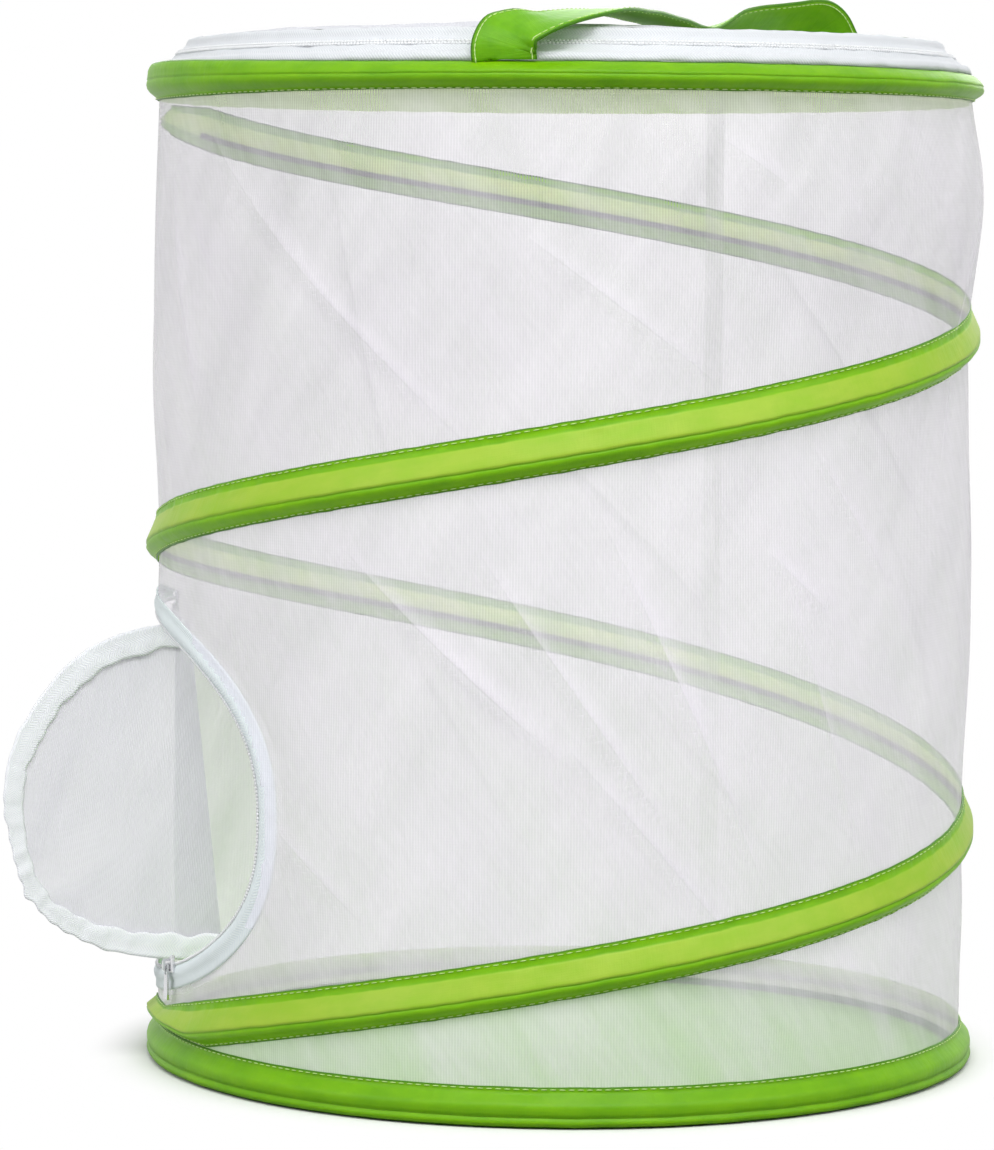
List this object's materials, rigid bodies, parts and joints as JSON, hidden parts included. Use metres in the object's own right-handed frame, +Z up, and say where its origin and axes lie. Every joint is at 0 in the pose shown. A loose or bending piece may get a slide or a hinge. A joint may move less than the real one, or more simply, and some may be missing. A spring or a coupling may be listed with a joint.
{
  "type": "insect cage",
  "caption": "Pop-up mesh insect cage: cylinder on a spring wire helix with green tapes, zip-off domed lid, carry strap and folding zipped door.",
  "frame": {"origin": "centre of the floor's underside, on the ground", "axes": "+Z up along the cylinder's axis, -Y towards the viewer, +X to the viewer's right; the door is at the left"},
  "size_m": [0.3565, 0.3052, 0.3968],
  "materials": {
    "green_tape": "satin woven nylon binding",
    "floor_cloth": "coated woven polyester",
    "mesh": "fine see-through polyester net",
    "white_tape": "woven zipper tape",
    "lid_cloth": "fine dense polyester net",
    "zipper_coil": "moulded polyester coil",
    "spring_wire": "tempered steel",
    "slider_metal": "white enamelled zinc"
  },
  "bodies": {
    "base": {"floor_panel": "floor_cloth", "floor_piping": "green_tape", "bottom_hoop_wire": "spring_wire", "bottom_binding": "green_tape", "helix_wire": "spring_wire", "helix_binding": "green_tape", "wall_mesh": "mesh", "wall_seam_tape": "white_tape", "door_tape_wall": "white_tape", "door_coil_wall": "zipper_coil", "door_edge_tape": "white_tape"},
    "top": {"top_hoop_wire": "spring_wire", "top_binding": "green_tape", "lid_tape_rim": "white_tape", "lid_coil_rim": "zipper_coil", "lid_hinge_strip": "lid_cloth", "carry_strap": "green_tape"},
    "lid": {"lid_panel": "lid_cloth", "lid_tape_lid": "white_tape", "lid_coil_lid": "zipper_coil"},
    "lid_zip": {"lid_slider": "slider_metal"},
    "lid_tab": {"lid_pull_tab": "slider_metal"},
    "door_inner": {"door_panel_inner": "mesh", "door_tape_inner_low": "white_tape", "door_tape_inner_high": "white_tape"},
    "door_outer": {"door_panel_outer": "mesh", "door_tape_outer": "white_tape", "door_coil_flap": "zipper_coil"},
    "door_zip": {"door_slider": "slider_metal"},
    "door_tab": {"door_pull_tab": "slider_metal"}
  },
  "joints": [
    {"name": "collapse", "type": "slide", "parent": "base", "child": "top", "axis": [0, 0, 1], "range_m": [-0.3, 0], "stiffness_N_per_m": 30, "springref_m": 0.15, "deforming": ["wall_mesh", "wall_seam_tape", "helix_wire", "helix_binding", "door_tape_wall", "door_coil_wall", "door_edge_tape", "door_panel_inner", "door_tape_inner_low", "door_tape_inner_high", "door_panel_outer", "door_tape_outer", "door_coil_flap"]},
    {"name": "lid_hinge", "type": "hinge", "parent": "top", "child": "lid", "pos_m": [-0.11533, 0.05135, 0.37331], "axis": [-0.4067, -0.9135, 0], "range_deg": [0, 110], "deforming": ["carry_strap"]},
    {"name": "lid_zip_travel", "type": "hinge", "parent": "top", "child": "lid_zip", "pos_m": [0, 0, 0.3665], "axis": [0, 0, 1], "range_deg": [-300, 0]},
    {"name": "lid_pull_swing", "type": "hinge", "parent": "lid_zip", "child": "lid_tab", "pos_m": [-0.08528, 0.11525, 0.3688], "axis": [-0.4388, 0.593, -0.6752], "range_deg": [0, 170]},
    {"name": "door_hinge", "type": "hinge", "parent": "base", "child": "door_inner", "pos_m": [-0.14477, 0.03077, 0.098], "axis": [0, 0, -1], "range_deg": [-15, 100]},
    {"name": "door_fold", "type": "hinge", "parent": "door_inner", "child": "door_outer", "pos_m": [-0.12864, -0.02931, 0.09868], "axis": [0.106, -0.0486, -0.9932], "range_deg": [-107, 20]},
    {"name": "door_zip_travel", "type": "slide", "parent": "base", "child": "door_zip", "axis": [0.3541, -0.9044, 0.2381], "range_m": [0, 0.014]},
    {"name": "door_pull_swing", "type": "hinge", "parent": "door_zip", "child": "door_tab", "pos_m": [-0.14103, -0.0552, 0.03911], "axis": [-0.3645, 0.9312, 0], "range_deg": [0, 170]}
  ]
}
